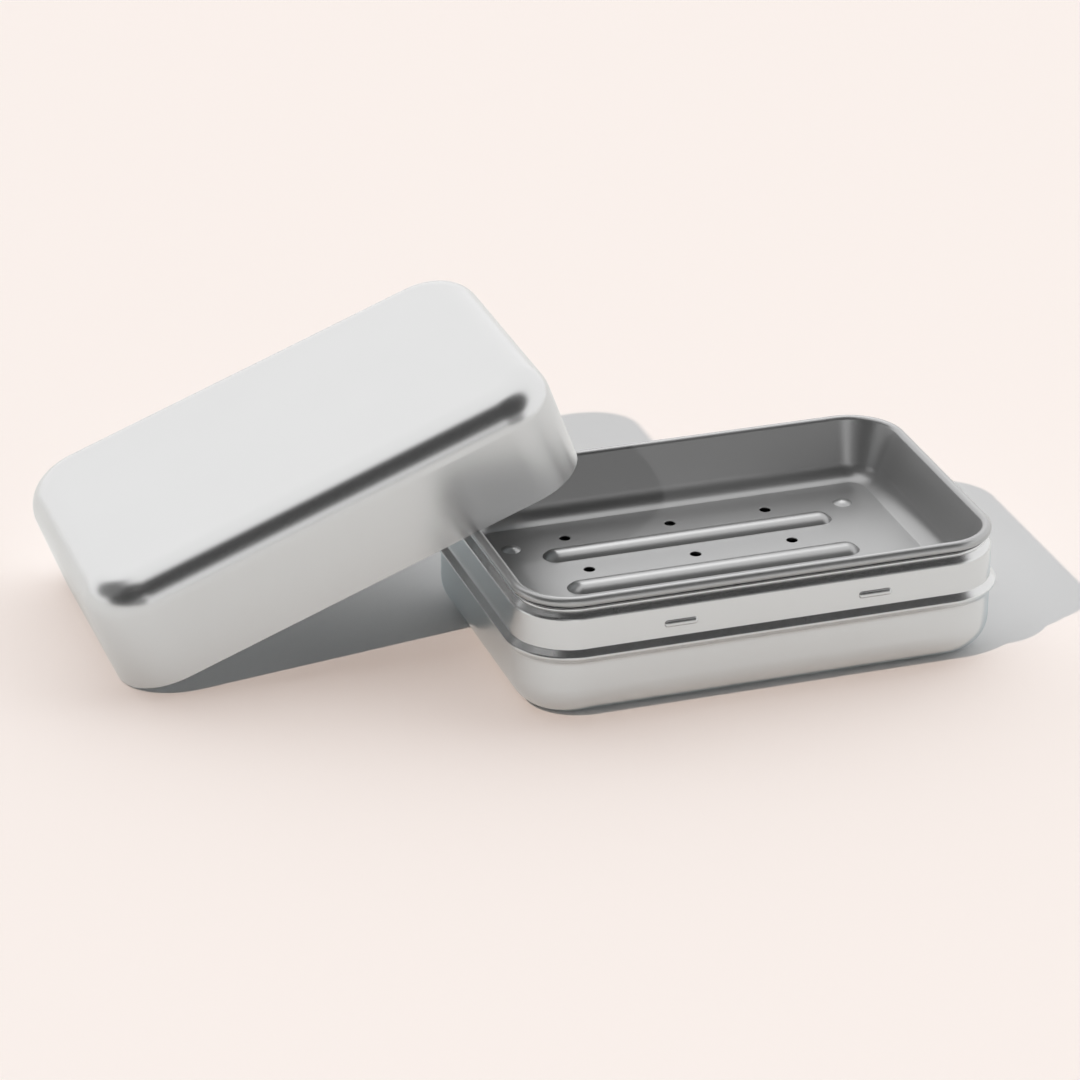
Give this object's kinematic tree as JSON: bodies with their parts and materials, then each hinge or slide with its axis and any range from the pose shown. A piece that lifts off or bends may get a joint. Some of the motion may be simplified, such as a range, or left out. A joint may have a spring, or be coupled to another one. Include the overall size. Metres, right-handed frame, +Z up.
{
  "type": "soap dish",
  "caption": "Lidded pressed-metal soap tin: rounded rectangular base with a bead and shoulder, a loose ribbed drain tray with a rolled rim, and the lid taken off and leaning on it.",
  "frame": {"origin": "middle of the underside of the base, on the surface that the tin stands on", "axes": "+X along the base's long side, away from the end that the lid leans over; +Y across the base, towards the side where the lid lies; +Z up, out of the tray's mouth"},
  "size_m": [0.1766, 0.1015, 0.0558],
  "materials": {
    "body_metal": "plain satin tinplate, softly reflecting, no visible brushing",
    "tray_metal": "plain satin tinplate, a little darker where the tray shades itself"
  },
  "bodies": {
    "base": {"base_tin": "body_metal"},
    "tray": {"drain_tray": "tray_metal"},
    "cover": {"lid": "body_metal"}
  },
  "joints": [
    {"name": "tray_lift", "type": "slide", "parent": "base", "child": "tray", "axis": [0, 0, 1], "range_m": [0, 0.03]},
    {"name": "lid_lift", "type": "slide", "parent": "tray", "child": "cover", "axis": [0, 0, 1], "range_m": [0, 0.045]}
  ]
}
